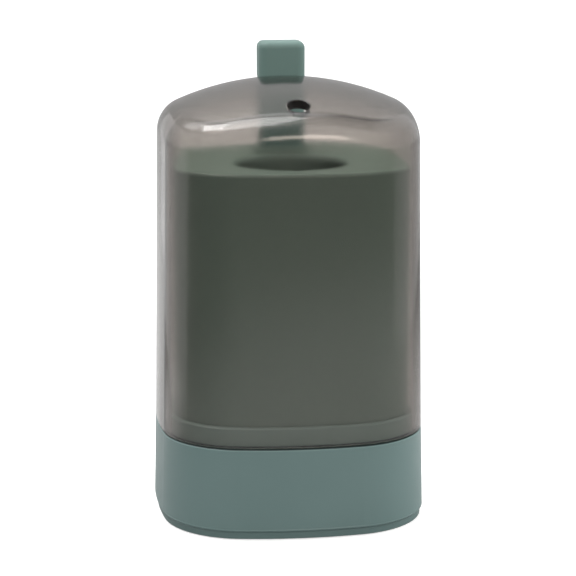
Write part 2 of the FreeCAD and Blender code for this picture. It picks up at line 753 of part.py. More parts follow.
pocket(lifter, seat, size("lifter_pin_seat") + size("overrun"))

needle = new_body("lifter_pin")
needle_foot = lifter_top - size("lifter_pin_seat")
needle_end = sketch_on(needle, "end", level=needle_foot)
draw_circle(needle_end, 0, pick_y, size("lifter_pin_radius"))
needle_top = floor_low - size("lifter_pin_below_floor")
pad(needle, needle_end, needle_top - needle_foot)
round_edges(needle, "Chamfer", size("lifter_pin_radius") / 4, at_level(needle_top))

# Push column: hollow square column in its sleeve, with a stop flange under the deck
column = new_body("push_column")
column_width = size("button_width") - size("column_inset") * 2
column_depth = size("button_depth") - size("column_inset") * 2
column_corner = size("button_corner") - size("column_inset")
stop_under = column_foot + size("column_nub_height")
nubs = sketch_on(column, "nubs", level=column_foot)
nub_half = size("column_nub_half")
draw_rounded_box(nubs, button_y, size("rocker_fork_width"), nub_half * 2, nub_half / 4)
pad(column, nubs, size("column_nub_height") + size("column_wall"))
shaft = sketch_on(column, "shaft", level=stop_under)
draw_rounded_box(shaft, button_y, column_width, column_depth, column_corner)
pad(column, shaft, rim_height - stop_under)
stop = sketch_on(column, "stop", level=stop_under)
draw_rounded_box(stop, button_y, size("column_flange_width"), column_depth, column_corner)
pad(column, stop, deck_under - size("running_gap") - stop_under)
hollow_width = column_width - size("column_wall") * 2
hollow_depth = column_depth - size("column_wall") * 2
hollow_corner = column_corner - size("column_wall")
spring_room = sketch_on(column, "spring_room", level=column_foot)
draw_rounded_box(spring_room, button_y, hollow_width, hollow_depth, hollow_corner)
pocket(column, spring_room, size("spring_ceiling") - column_foot, upwards=True)
upper_room = sketch_on(column, "upper_room", level=rim_height)
draw_rounded_box(upper_room, button_y, hollow_width, hollow_depth, hollow_corner)
pocket(column, upper_room,
       rim_height - size("spring_ceiling") - size("column_partition"))

# Button cap: square moulded cap on top of the column, with a plug that snaps into it
cap = new_body("button_cap")
outside = sketch_on(cap, "outside", level=rim_height)
draw_rounded_box(outside, button_y, size("button_width"), size("button_depth"), size("button_corner"))
pad(cap, outside, button_top - rim_height)
round_edges(cap, "Fillet", size("button_top_round"), at_level(button_top))
round_edges(cap, "Fillet", size("button_rim_round"), at_level(rim_height))
cap_plug = sketch_on(cap, "plug", level=rim_height - size("button_plug_depth"))
draw_rounded_box(cap_plug, button_y, hollow_width - size("seat_gap") * 2,
                 hollow_depth - size("seat_gap") * 2, hollow_corner - size("seat_gap"))
pad(cap, cap_plug, size("button_plug_depth") + size("button_rim_round"))
cap_room = sketch_on(cap, "room", level=rim_height - size("button_plug_depth"))
draw_rounded_box(cap_room, button_y, hollow_width - size("button_wall") * 2,
                 hollow_depth - size("button_wall") * 2, hollow_corner / 2)
pocket(cap, cap_room,
       size("button_plug_depth") + button_top - rim_height - size("button_wall") * 2,
       upwards=True)


def arch(label, inset):
    """The cover's outer form, or with the wall as inset its inner form: walls, shoulder, crown."""
    form = new_body(label)
    top = crown_height + size("overrun")
    outline = sketch_on(form, "outline", level=seam_height)
    draw_footprint(outline, size("seam_half") - inset)
    pad(form, outline, top - seam_height)
    draft_sides(form, seam_height, lean_for(size("cover_draft"), top - seam_height))
    crown = sketch_on(form, "crown", role="XZ_Plane")
    ball = size("crown_radius") - inset
    middle = crown_height - size("crown_radius")
    reach = size("seam_half") * 3 / 2
    swing = math.acos(reach.number / ball.number)
    peak = vector(0, middle + ball)
    rim_point = vector(reach, middle.number + ball.number * math.sin(swing))
    bow = draw_arc(crown, vector(0, middle), ball.number, swing, math.pi / 2)
    outer = crown.addGeometry(Part.LineSegment(rim_point, vector(reach, top + size("overrun"))))
    lid = crown.addGeometry(
        Part.LineSegment(vector(reach, top + size("overrun")), vector(0, top + size("overrun")))
    )
    axis = crown.addGeometry(Part.LineSegment(vector(0, top + size("overrun")), peak))
    crown.addConstraint(Sketcher.Constraint("Coincident", bow, START_INDEX, outer, START_INDEX))
    crown.addConstraint(Sketcher.Constraint("Coincident", outer, END_INDEX, lid, START_INDEX))
    crown.addConstraint(Sketcher.Constraint("Coincident", lid, END_INDEX, axis, START_INDEX))
    crown.addConstraint(Sketcher.Constraint("Coincident", axis, END_INDEX, bow, END_INDEX))
    place(crown, bow, CENTRE_INDEX, 0, middle)
    fix(crown, "Radius", (bow,), ball)
    crown.addConstraint(Sketcher.Constraint("PointOnObject", bow, END_INDEX, Y_AXIS_INDEX))
    place(crown, lid, START_INDEX, reach, top + size("overrun"))
    place(crown, lid, END_INDEX, 0, top + size("overrun"))
    crown.addConstraint(Sketcher.Constraint("Vertical", outer))
    turned = form.newObject("PartDesign::Groove", f"{label}_crown_groove")
    turned.Profile = crown
    turned.ReferenceAxis = (crown, ["V_Axis"])
    turned.Angle = 360
    settle(form, turned)
    round_edges(form, "Fillet", size("shoulder_radius") - inset, lambda edge: (
        edge.BoundBox.ZMin > plate_under.number and edge.BoundBox.ZMax < (crown_height - inset).number
        and edge.BoundBox.XLength + edge.BoundBox.YLength > size("corner_radius").number / 4
    ))
    return form


def cylinder(label, radius, foot, height, y):
    rod = doc.addObject("Part::Cylinder", label)
    bind(rod, "Radius", radius)
    bind(rod, "Height", height)
    bind(rod, ".Placement.Base.y", y)
    bind(rod, ".Placement.Base.z", foot)
    return rod


def boolean(kind, label, base_piece, tool_piece):
    result = doc.addObject(f"Part::{kind}", label)
    result.Base = base_piece
    result.Tool = tool_piece
    doc.recompute()
    return result


# Smoked cover: clear moulding with a crowned top, the pick outlet and the button's opening
nothing = size("overrun") * 0
outer_form = arch("cover_outer_form", nothing)
inner_form = arch("cover_inner_form", size("cover_wall"))
cover_blank = boolean("Cut", "cover_blank", outer_form, inner_form)
inner_crown = size("crown_radius") - size("cover_wall")
outlet_roof = root(inner_crown * inner_crown - outlet_y * outlet_y) + crown_height - size("crown_radius")
outlet_bore_foot = outlet_roof - size("outlet_radius") * 2
outlet_bore = cylinder("outlet_bore", size("outlet_radius"), outlet_bore_foot,
                       crown_height - outlet_bore_foot, outlet_y)
button_tool = new_body("button_opening_tool")
button_opening = sketch_on(button_tool, "outline", level=crown_height / 2 + plate_height / 2)
draw_rounded_box(button_opening, button_y, size("button_width") + size("button_gap") * 2,
                 size("button_depth") + size("button_gap") * 2,
                 size("button_corner") + size("button_gap"))
pad(button_tool, button_opening, crown_height / 2 - plate_height / 2 + size("overrun"))
openings = boolean("Fuse", "cover_openings", outlet_bore, button_tool)
opened_cover = boolean("Cut", "opened_cover", cover_blank, openings)


def is_outlet_brink(edge):
    """An edge where the outlet's bore meets the crown or the shoulder outside."""
    if edge.BoundBox.ZMin < outlet_roof.number or edge.Length < SAME:
        return False
    reaches = [math.hypot(point.x, point.y - outlet_y.number) for point in edge.discretize(5)]
    return max(abs(reach - size("outlet_radius").number) for reach in reaches) < SAME


cover = doc.addObject("Part::Fillet", "cover_shell")
cover.Base = opened_cover
brinks = [n for n, edge in enumerate(opened_cover.Shape.Edges, start=1) if is_outlet_brink(edge)]
brink_round = size("outlet_edge_round").number
cover.Edges = [(n, brink_round, brink_round) for n in brinks]
doc.recompute()


def bend(here, heading, there, arriving):
    """Two arcs from one point and heading to another, meeting smoothly."""
    span = there - here
    both = heading + arriving
    spread = 2 * (1 - heading.dot(arriving))
    along = span.dot(both)
    reach = (math.sqrt(along**2 + spread * span.dot(span)) - along) / spread
    first, last = here + heading * reach, there - arriving * reach
    meeting = (first + last) / 2
    edges = []
    for start, knee, stop_point in ((here, first, meeting), (meeting, last, there)):
        chord = (start + stop_point) / 2
        cosine = (start - chord).Length / reach
        crest = chord + (knee - chord) * (cosine / (1 + cosine))
        edges.append(Part.Arc(start, crest, stop_point).toShape())
    return edges


# Return spring: one coil of steel wire from the bottom cover up to the column's ceiling
wire_radius = size("spring_wire_radius").number
coil_radius = size("spring_mean_radius").number
coil_foot = (foot_height + size("spring_wire_radius") + size("spring_seat")).number
coil_top = (size("spring_ceiling") - size("spring_wire_radius") - size("spring_seat")).number
pitch = (coil_top - coil_foot) / SPRING_TURNS


def coil_point(turn):
    around = 2 * math.pi * turn
    spot = FreeCAD.Vector(
        coil_radius * math.cos(around),
        button_y.number + coil_radius * math.sin(around),
        coil_foot + pitch * turn,
    )
    heading = FreeCAD.Vector(
        -2 * math.pi * coil_radius * math.sin(around),
        2 * math.pi * coil_radius * math.cos(around),
        pitch,
    )
    return spot, heading.normalize()


coil_edges = []
for step in range(SPRING_TURNS * ARCS_PER_TURN):
    spot, heading = coil_point(step / ARCS_PER_TURN)
    next_spot, next_heading = coil_point((step + 1) / ARCS_PER_TURN)
    coil_edges += bend(spot, heading, next_spot, next_heading)
coil = Part.Wire(coil_edges)
spot, heading = coil_point(0)
section = Part.Wire(Part.Circle(spot, heading, wire_radius).toShape())
spring = doc.addObject("Part::Feature", "return_spring")
spring.Shape = coil.makePipeShell([section], True, False)
checks_per_turn = 36
spots = [coil_point(n / checks_per_turn)[0] for n in range(SPRING_TURNS * checks_per_turn + 1)]
least_gap = min(
    (spots[i] - spots[j]).Length
    for i in range(len(spots))
    for j in range(i + checks_per_turn // 2, len(spots))
) - 2 * wire_radius
print(f"spring: pitch {pitch:.2f} mm, least gap to itself {least_gap:.2f} mm")

# Check every object, then write each piece to its file
NODES = [
    "base_housing", "bottom_cover", "front_left_pad", "front_right_pad", "rear_left_pad",
    "rear_right_pad", "bottom_screws", "container_screws", "inner_container", "well_floor",
    "rocker_pin", "return_spring", "cover_shell", "button_cap", "push_column", "rocker_lever",
    "lifter_foot", "lifter_pin",
]
doc.recompute()
failed = [item.Label for item in doc.Objects if {"Invalid", "Error"} & set(item.State)]
if failed:
    raise ValueError(f"objects that failed: {failed}")
os.makedirs("parts", exist_ok=True)
for label in NODES:
    shape = doc.getObjectsByLabel(label)[0].Shape
    if shape.isNull() or not shape.isValid() or not shape.Solids:
        raise ValueError(f"{label} has no valid solid")
    shape.exportStep(f"parts/{label}.step")
    box = shape.BoundBox
    print(f"{label}: {len(shape.Solids)} solid, {shape.Volume / 1000:.2f} cm3, "
          f"z {box.ZMin:.2f} to {box.ZMax:.2f}")
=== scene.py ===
import math

import bmesh
import bpy
from mathutils import Matrix, Vector


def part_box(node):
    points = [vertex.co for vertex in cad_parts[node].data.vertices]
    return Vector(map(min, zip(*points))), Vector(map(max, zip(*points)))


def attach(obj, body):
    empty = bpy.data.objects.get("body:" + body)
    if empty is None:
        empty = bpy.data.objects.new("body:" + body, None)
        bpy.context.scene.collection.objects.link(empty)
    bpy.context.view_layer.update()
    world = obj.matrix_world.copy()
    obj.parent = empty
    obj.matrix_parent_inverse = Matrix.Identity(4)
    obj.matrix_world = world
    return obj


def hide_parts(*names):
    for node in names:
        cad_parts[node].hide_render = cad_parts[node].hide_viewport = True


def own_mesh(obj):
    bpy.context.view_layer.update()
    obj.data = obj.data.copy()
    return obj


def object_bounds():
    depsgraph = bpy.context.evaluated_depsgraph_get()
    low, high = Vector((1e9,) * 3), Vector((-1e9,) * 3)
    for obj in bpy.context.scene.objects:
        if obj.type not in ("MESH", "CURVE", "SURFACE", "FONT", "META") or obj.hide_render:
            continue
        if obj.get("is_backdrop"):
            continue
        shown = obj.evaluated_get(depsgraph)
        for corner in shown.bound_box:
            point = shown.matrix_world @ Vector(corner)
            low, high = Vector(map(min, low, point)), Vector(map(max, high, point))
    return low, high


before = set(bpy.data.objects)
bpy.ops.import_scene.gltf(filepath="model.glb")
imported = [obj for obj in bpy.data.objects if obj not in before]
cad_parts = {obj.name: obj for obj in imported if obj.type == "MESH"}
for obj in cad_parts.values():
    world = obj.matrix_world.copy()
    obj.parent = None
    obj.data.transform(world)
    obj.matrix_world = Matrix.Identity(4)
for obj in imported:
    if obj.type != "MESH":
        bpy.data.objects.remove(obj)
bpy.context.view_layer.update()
mm = 0.001

# Photographer's table: a pale seamless floor that runs on past the view.
# Its colour and a little glow towards the camera make the white, so the lamps stay plain.
view_settings = bpy.context.scene.view_settings
view_settings.view_transform = "Standard"

floor_white = 0.62
floor_glow = 0.52
floor_half = 8.0
# Levels painted into the table's colour for gloss alone: pools of painted light, painted grey
# behind, painted dark elsewhere
painted_dark_level = 0.05
front_pool_middle, front_pool_level = (0.10, -0.10, 0), 0.42
left_pool_middle, left_pool_level = (-0.13, 0.05, 0), 0.45
level_behind, level_straight_behind = 0.18, 0.42

floor_mesh = bpy.data.meshes.new("floor")
floor_mesh.from_pydata(
    [(x * floor_half, y * floor_half, 0) for x, y in ((-1, -1), (1, -1), (1, 1), (-1, 1))],
    [], [(0, 1, 2, 3)],
)
floor = bpy.data.objects.new("floor", floor_mesh)
bpy.context.scene.collection.objects.link(floor)
floor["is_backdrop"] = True

paper = bpy.data.materials.new("studio_paper")
paper.use_nodes = True
nodes, links = paper.node_tree.nodes, paper.node_tree.links
sheet = nodes["Principled BSDF"]
sheet.inputs["Roughness"].default_value = 0.9
sheet.inputs["Specular IOR Level"].default_value = 0


def joined(tree, operation, first, second):
    """The result of a math node on two sockets or numbers."""
    node = tree.nodes.new("ShaderNodeMath")
    node.operation = operation
    for socket, value in zip(node.inputs, (first, second)):
        if isinstance(value, (int, float)):
            socket.default_value = value
        else:
            tree.links.new(value, socket)
    return node.outputs[0]


def spread(tree, value, low, high, to_low, to_high, soft=False):
    """A value moved from one range to another, held at the ends."""
    node = tree.nodes.new("ShaderNodeMapRange")
    node.interpolation_type = "SMOOTHSTEP" if soft else "LINEAR"
    numbers = {"From Min": low, "From Max": high, "To Min": to_low, "To Max": to_high}
    for label, number in numbers.items():
        node.inputs[label].default_value = number
    tree.links.new(value, node.inputs["Value"])
    return node.outputs[0]


# Gloss on the object meets other levels of the table than the camera does: pools of light and
# shade painted into the table's colour for gloss alone. They were chosen to match the
# photograph's reflections: a painted pool of light in front on the right and one close on the
# left, painted pale grey behind, and painted dark elsewhere.
tree = paper.node_tree
place = nodes.new("ShaderNodeTexCoord")
axes = nodes.new("ShaderNodeSeparateXYZ")
links.new(place.outputs["Object"], axes.inputs[0])


def painted_light_pool(middle, near, far, level):
    """The table's colour with a pool of light painted round a place, falling off between these two
    distances.
    """
    distance = nodes.new("ShaderNodeVectorMath")
    distance.operation = "DISTANCE"
    distance.inputs[1].default_value = middle
    links.new(place.outputs["Object"], distance.inputs[0])
    return spread(tree, distance.outputs["Value"], near, far, level, painted_dark_level, soft=True)


sight = nodes.new("ShaderNodeNewGeometry")
heading = nodes.new("ShaderNodeSeparateXYZ")
links.new(sight.outputs["Incoming"], heading.inputs[0])
painted_table_level = painted_light_pool(front_pool_middle, 0.12, 0.44, front_pool_level)
for other in (
    painted_light_pool(left_pool_middle, 0.02, 0.11, left_pool_level),
    spread(tree, axes.outputs["Y"], -0.14, 0.08, painted_dark_level, level_behind, soft=True),
    spread(tree, heading.outputs["Y"], -0.97, -0.72, level_straight_behind, painted_dark_level, soft=True),
):
    painted_table_level = joined(tree, "MAXIMUM", painted_table_level, other)


def straight_sight(tree):
    """One for rays from the camera, also those that only passed through the smoke on the way."""
    path = tree.nodes.new("ShaderNodeLightPath")
    unturned = joined(tree, "LESS_THAN", path.outputs["Glossy Depth"], 0.5)
    through = joined(tree, "MULTIPLY", path.outputs["Is Transmission Ray"], unturned)
    return joined(tree, "MAXIMUM", path.outputs["Is Camera Ray"], through)


seen = straight_sight(tree)
level = nodes.new("ShaderNodeMix")
links.new(seen, level.inputs["Factor"])
links.new(painted_table_level, level.inputs["A"])
level.inputs["B"].default_value = floor_white
links.new(level.outputs["Result"], sheet.inputs["Base Color"])
sheet.inputs["Emission Color"].default_value = (1, 1, 1, 1)
links.new(joined(tree, "MULTIPLY", seen, floor_glow), sheet.inputs["Emission Strength"])
floor_mesh.materials.append(paper)

# Room and lamps: the room is white to the camera and through the smoke, and to gloss pale
# overhead and dim in front. Broad soft suns give the plain light, a softbox stands on each side,
# and lit panels overhead and one card in front make the streaks on the cover's shoulder.
room_level = 0.50
room_in_front, room_low, room_high = 0.15, 0.55, 0.95

world = bpy.data.worlds.new("studio_room")
bpy.context.scene.world = world
world.use_nodes = True
tree = world.node_tree
nodes, links = tree.nodes, tree.links
backdrop = nodes["Background"]
backdrop.inputs["Color"].default_value = (1, 1, 1, 1)
way = nodes.new("ShaderNodeTexCoord")
axes = nodes.new("ShaderNodeSeparateXYZ")
links.new(way.outputs["Generated"], axes.inputs[0])
gloss_level = joined(
    tree, "MULTIPLY",
    spread(tree, axes.outputs["Y"], -0.85, -0.25, room_in_front, 1, soft=True),
    spread(tree, axes.outputs["Z"], 0.15, 0.75, room_low, room_high),
)
path = nodes.new("ShaderNodeLightPath")
for_gloss = nodes.new("ShaderNodeMix")
for_gloss.inputs["A"].default_value = room_level
links.new(
    joined(tree, "MAXIMUM", path.outputs["Is Glossy Ray"], path.outputs["Is Transmission Ray"]),
    for_gloss.inputs["Factor"],
)
links.new(gloss_level, for_gloss.inputs["B"])
strength = nodes.new("ShaderNodeMix")
strength.inputs["B"].default_value = 1
links.new(straight_sight(tree), strength.inputs["Factor"])
links.new(for_gloss.outputs["Result"], strength.inputs["A"])
links.new(strength.outputs["Result"], backdrop.inputs["Strength"])


def soft_sun(name, azimuth, elevation, irradiance, spread):
    """A broad sun that shines from this side, in degrees, and that gloss doesn't show as a disc."""
    lamp = bpy.data.lights.new(name, "SUN")
    lamp.energy = irradiance
    lamp.angle = math.radians(spread)
    body = bpy.data.objects.new(name, lamp)
    a, e = math.radians(azimuth), math.radians(elevation)
    towards = Vector((math.sin(a) * math.cos(e), -math.cos(a) * math.cos(e), math.sin(e)))
    body.rotation_euler = towards.to_track_quat("Z", "Y").to_euler()
    body.visible_glossy = body.visible_transmission = False
    bpy.context.scene.collection.objects.link(body)


soft_sun("front_left_light", -30, 24, 0.74, 45)
soft_sun("front_right_light", 40, 24, 0.86, 45)
soft_sun("right_light", 104, 20, 1.90, 30)
soft_sun("top_light", 180, 50, 2.0, 30)


def softbox(name, middle, along, width, look_at, radiance, colour=(1, 1, 1)):
    """A lit rectangle that gloss shows: its long side runs this way, and it faces a point."""
    lamp = bpy.data.lights.new(name, "AREA")
    lamp.color = colour
    lamp.shape = "RECTANGLE"
    lamp.size, lamp.size_y = along.length, width
    lamp.energy = radiance * math.pi * along.length * width
    body = bpy.data.objects.new(name, lamp)
    away = (middle - look_at).normalized()
    side = (along - away * along.dot(away)).normalized()
    turn = Matrix((side, away.cross(side), away)).transposed()
    body.matrix_world = Matrix.Translation(middle) @ turn.to_4x4()
    bpy.context.scene.collection.objects.link(body)


shoulder = Vector((0, -0.03, 0.1))
softbox("left_softbox", Vector((-0.15, 0.20, 0.10)), Vector((0, 0.44, 0)), 0.20,
        Vector((0, 0.20, 0.10)), 0.54)
softbox("right_softbox", Vector((0.26, 0.17, 0.22)), Vector((0, 0.52, 0)), 0.46,
        Vector((0, 0.17, 0.22)), 0.5)
softbox("overhead_softbox", Vector((-0.340, 0.094, 0.70)), Vector((0.17, -0.104, 0)), 0.22,
        shoulder, 10.5)
softbox("overhead_fill", Vector((-0.115, -0.043, 0.70)), Vector((0.30, -0.18, 0)), 0.34,
        shoulder, 5.8)
softbox("overhead_back", Vector((-0.16, 0.26, 0.70)), Vector((0.72, -0.26, 0)), 0.24,
        shoulder, 1.9)
softbox("front_card", Vector((0.15, -0.90, 0.53)), Vector((0.55, 0.13, 0)), 0.17,
        shoulder, 6.4, (1, 0.89, 0.79))

# Camera: the photograph's, half a metre off, a little above and to the left of the front.
camera_turn, camera_rise = math.radians(6.67), math.radians(11.78)
camera_distance = 493.9 * mm
camera_target = Vector((0, 0, 55.97 * mm))
lens = bpy.data.cameras.new("photograph")
lens.sensor_width = 36
lens.lens = 119.7
lens.shift_x, lens.shift_y = 0.0026, 0.0019
lens.clip_start = 0.01
camera = bpy.data.objects.new("photograph", lens)
back = Vector((
    -math.sin(camera_turn) * math.cos(camera_rise),
    -math.cos(camera_turn) * math.cos(camera_rise),
    math.sin(camera_rise),
))
camera.location = camera_target + back * camera_distance
camera.rotation_euler = back.to_track_quat("Z", "Y").to_euler()
bpy.context.scene.collection.objects.link(camera)
bpy.context.scene.camera = camera

# Base housing: a satin moulding in grey teal, with the deck, the spigot for the cover and
# the bosses in one shot. Its tool was finely eroded, which leaves a dull, even grain.


def new_group(name, inputs, outputs):
    """A shader node group with these sockets, and its two end nodes."""
    group = bpy.data.node_groups.new(name, "ShaderNodeTree")
    for label, kind, value in inputs:
        socket = group.interface.new_socket(name=label, in_out="INPUT", socket_type=kind)
        if value is not None:
            socket.default_value = value
    for label, kind in outputs:
        group.interface.new_socket(name=label, in_out="OUTPUT", socket_type=kind)
    return group, group.nodes.new("NodeGroupInput"), group.nodes.new("NodeGroupOutput")


def noise(tree, where, scale_from, detail=4, roughness=0.55):
    """A noise texture at this place whose scale comes from this socket."""
    texture = tree.nodes.new("ShaderNodeTexNoise")
    texture.inputs["Detail"].default_value = detail
    texture.inputs["Roughness"].default_value = roughness
    tree.links.new(where, texture.inputs["Vector"])
    if isinstance(scale_from, (int, float)):
        texture.inputs["Scale"].default_value = scale_from
    else:
        tree.links.new(scale_from, texture.inputs["Scale"])
    return texture


# The eroded grain, the slow drift in the moulding's shade, and patches of a little more polish
grain, given, result = new_group(
    "moulded_grain",
    [("Place", "NodeSocketVector", None), ("Grains per metre", "NodeSocketFloat", 5200.0),
     ("Drifts per metre", "NodeSocketFloat", 28.0)],
    [("Grain", "NodeSocketFloat"), ("Drift", "NodeSocketFloat"), ("Rubbed", "NodeSocketFloat")],
)
fine = noise(grain, given.outputs["Place"], given.outputs["Grains per metre"], detail=2)
drift = noise(grain, given.outputs["Place"], given.outputs["Drifts per metre"], detail=5)
rub = noise(grain, given.outputs["Place"], 90, detail=6, roughness=0.65)
grain.links.new(fine.outputs["Fac"], result.inputs["Grain"])
grain.links.new(spread(grain, drift.outputs["Fac"], 0.3, 0.7, 0, 1), result.inputs["Drift"])
grain.links.new(spread(grain, rub.outputs["Fac"], 0.42, 0.72, 0, 1), result.inputs["Rubbed"])


def moulded_plastic(name, dark, light, dull, polished, relief, grains=5200.0):
    """A moulded plastic with the shared grain: two near shades, two roughnesses, a fine relief."""
    material = bpy.data.materials.new(name)
    material.use_nodes = True
    tree = material.node_tree
    surface = tree.nodes["Principled BSDF"]
    place = tree.nodes.new("ShaderNodeTexCoord")
    texture = tree.nodes.new("ShaderNodeGroup")
    texture.node_tree = grain
    texture.inputs["Grains per metre"].default_value = grains
    tree.links.new(place.outputs["Object"], texture.inputs["Place"])
    shade = tree.nodes.new("ShaderNodeMix")
    shade.data_type = "RGBA"
    shade.inputs["A"].default_value = (*dark, 1)
    shade.inputs["B"].default_value = (*light, 1)
    tree.links.new(texture.outputs["Drift"], shade.inputs["Factor"])
    tree.links.new(shade.outputs["Result"], surface.inputs["Base Color"])
    tree.links.new(
        spread(tree, texture.outputs["Rubbed"], 0, 1, dull, polished), surface.inputs["Roughness"]
    )
    bump = tree.nodes.new("ShaderNodeBump")
    bump.inputs["Distance"].default_value = relief
    bump.inputs["Strength"].default_value = 0.5
    tree.links.new(texture.outputs["Grain"], bump.inputs["Height"])
    tree.links.new(bump.outputs["Normal"], surface.inputs["Normal"])
    return material


def finish_node(name, material):
    """Gives a CAD node its material."""
    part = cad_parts[name]
    for place in part.material_slots:
        place.material = material
    if not part.material_slots:
        part.data.materials.append(material)


base_teal = moulded_plastic(
    "satin_teal", (0.084, 0.136, 0.132), (0.093, 0.148, 0.144), 0.40, 0.34, 0.02 * mm
)
base_tree = base_teal.node_tree
base_surface = base_tree.nodes["Principled BSDF"]
place = base_tree.nodes.new("ShaderNodeTexCoord")
height = base_tree.nodes.new("ShaderNodeSeparateXYZ")
base_tree.links.new(place.outputs["Object"], height.inputs[0])
seam_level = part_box("cover_shell")[0][2]

# Painted light and shade, set to match the photograph and not known of the real thing: the spigot
# above the seam painted paler, and painted shade, near black, in the gap under the cover
gap_foot, gap_top = seam_level - 0.50 * mm, seam_level
gap_shade_mask = joined(
    base_tree, "MULTIPLY",
    spread(base_tree, height.outputs["Z"], gap_foot - 0.12 * mm, gap_foot, 0, 1),
    spread(base_tree, height.outputs["Z"], gap_top, gap_top + 0.05 * mm, 1, 0),
)
spigot = spread(base_tree, height.outputs["Z"], gap_top, gap_top + 0.1 * mm, 0, 1)
# Painted light on the spigot and near-black painted shade in the gap
spigot_painted_light, gap_painted_shade = (0.112, 0.156, 0.137, 1), (0.008, 0.014, 0.013, 1)
colour = base_surface.inputs["Base Color"].links[0].from_socket
for mask, over in ((spigot, spigot_painted_light), (gap_shade_mask, gap_painted_shade)):
    covered = base_tree.nodes.new("ShaderNodeMix")
    covered.data_type = "RGBA"
    covered.inputs["B"].default_value = over
    base_tree.links.new(mask, covered.inputs["Factor"])
    base_tree.links.new(colour, covered.inputs["A"])
    colour = covered.outputs["Result"]
base_tree.links.new(colour, base_surface.inputs["Base Color"])

# The fine line that the photograph shows at the housing's foot, made by bump alone
foot_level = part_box("base_housing")[0][2]
line_foot, line_top = foot_level + 0.15 * mm, foot_level + 0.75 * mm
line_height_in_grains = 8.0
rise = spread(base_tree, height.outputs["Z"], line_foot, line_foot + 0.25 * mm, 0, 1, soft=True)
fall = spread(base_tree, height.outputs["Z"], line_top - 0.20 * mm, line_top, 1, 0, soft=True)
line = joined(base_tree, "MULTIPLY", rise, fall)
ridge = joined(base_tree, "MULTIPLY", line, line_height_in_grains)
bump = next(node for node in base_tree.nodes if node.bl_idname == "ShaderNodeBump")
grain_height = bump.inputs["Height"].links[0].from_socket
base_tree.links.new(joined(base_tree, "ADD", grain_height, ridge), bump.inputs["Height"])
finish_node("base_housing", base_teal)

# Bottom cover: a flat moulding in a slightly darker teal, screwed on from below.
# Four soft dark pads are pressed into its recesses so that the dispenser doesn't slide.
bottom_teal = moulded_plastic(
    "bottom_teal", (0.072, 0.118, 0.114), (0.080, 0.128, 0.124), 0.48, 0.42, 0.02 * mm
)
finish_node("bottom_cover", bottom_teal)

pad_rubber = moulded_plastic(
    "pad_rubber", (0.020, 0.020, 0.020), (0.034, 0.033, 0.032), 0.85, 0.7, 0.05 * mm, grains=2600.0
)
for corner in ("front_left", "front_right", "rear_left", "rear_right"):
    finish_node(f"{corner}_pad", pad_rubber)

# Screws: eight pan-head tapping screws of plain steel, four up through the bottom cover and
# four up through the deck into the container. One screw is turned, then set on its places.
steel = bpy.data.materials.new("plain_steel")
steel.use_nodes = True
tree = steel.node_tree
surface = tree.nodes["Principled BSDF"]
surface.inputs["Metallic"].default_value = 1
place = tree.nodes.new("ShaderNodeTexCoord")
wipe = noise(tree, place.outputs["Object"], 900, detail=5)
tint = tree.nodes.new("ShaderNodeMix")
tint.data_type = "RGBA"
tint.inputs["A"].default_value = (0.46, 0.46, 0.45, 1)
tint.inputs["B"].default_value = (0.60, 0.60, 0.59, 1)
tree.links.new(wipe.outputs["Fac"], tint.inputs["Factor"])
tree.links.new(tint.outputs["Result"], surface.inputs["Base Color"])
tree.links.new(spread(tree, wipe.outputs["Fac"], 0.3, 0.7, 0.22, 0.38), surface.inputs["Roughness"])

screw_head_radius, screw_head_height = 2.2 * mm, 0.9 * mm
screw_shank_radius, screw_root_radius = 1.1 * mm, 0.8 * mm
screw_length, screw_thread_pitch = 9.0 * mm, 0.9 * mm
recess_half, recess_arm, recess_depth = 1.15 * mm, 0.3 * mm, 0.6 * mm


def turned_screw():
    """The screw, head at the bottom with its underside at zero and the cross recess facing down."""
    shape = bmesh.new()
    profile = [(0.01 * mm, 0), (recess_half * 1.25, 0.03 * mm),
               (screw_head_radius * 0.9, 0.25 * mm), (screw_head_radius, 0.55 * mm),
               (screw_head_radius, screw_head_height)]
    profile += [(screw_root_radius, screw_head_height)]
    threads = int((screw_length - 2 * mm) / screw_thread_pitch)
    for turn in range(threads):
        foot = screw_head_height + 0.8 * mm + turn * screw_thread_pitch
        profile += [(screw_root_radius, foot),
                    (screw_shank_radius, foot + screw_thread_pitch * 0.4),
                    (screw_root_radius, foot + screw_thread_pitch * 0.8)]
    profile += [(screw_root_radius * 0.8, screw_length + screw_head_height - 0.4 * mm),
                (0.01 * mm, screw_length + screw_head_height)]
    line = [shape.verts.new((radius, 0, height)) for radius, height in profile]
    edges = [shape.edges.new(pair) for pair in zip(line, line[1:])]
    bmesh.ops.spin(
        shape, geom=line + edges, cent=(0, 0, 0), axis=(0, 0, 1), angle=math.tau, steps=32
    )
    bmesh.ops.remove_doubles(shape, verts=shape.verts, dist=0.012 * mm)
    bmesh.ops.holes_fill(shape, edges=shape.edges)
    bmesh.ops.recalc_face_normals(shape, faces=shape.faces)
    mesh = bpy.data.meshes.new("screw")
    shape.to_mesh(mesh)
    shape.free()
    screw = bpy.data.objects.new("screw", mesh)
    bpy.context.scene.collection.objects.link(screw)
    for across, along in ((recess_half, recess_arm), (recess_arm, recess_half)):
        cutter_mesh = bpy.data.meshes.new("recess")
        cutter_shape = bmesh.new()
        halves = Matrix.Diagonal((across, along, recess_depth, 1))
        bmesh.ops.create_cube(cutter_shape, size=2, matrix=halves)
        cutter_shape.to_mesh(cutter_mesh)
        cutter_shape.free()
        cutter = bpy.data.objects.new("recess", cutter_mesh)
        bpy.context.scene.collection.objects.link(cutter)
        cut = screw.modifiers.new("recess", "BOOLEAN")
        cut.object, cut.operation, cut.solver = cutter, "DIFFERENCE", "EXACT"
        bpy.context.view_layer.update()
        cut_mesh = bpy.data.meshes.new_from_object(
            screw.evaluated_get(bpy.context.evaluated_depsgraph_get())
        )
        screw.modifiers.clear()
        screw.data = cut_mesh
        bpy.data.objects.remove(cutter)
    return screw


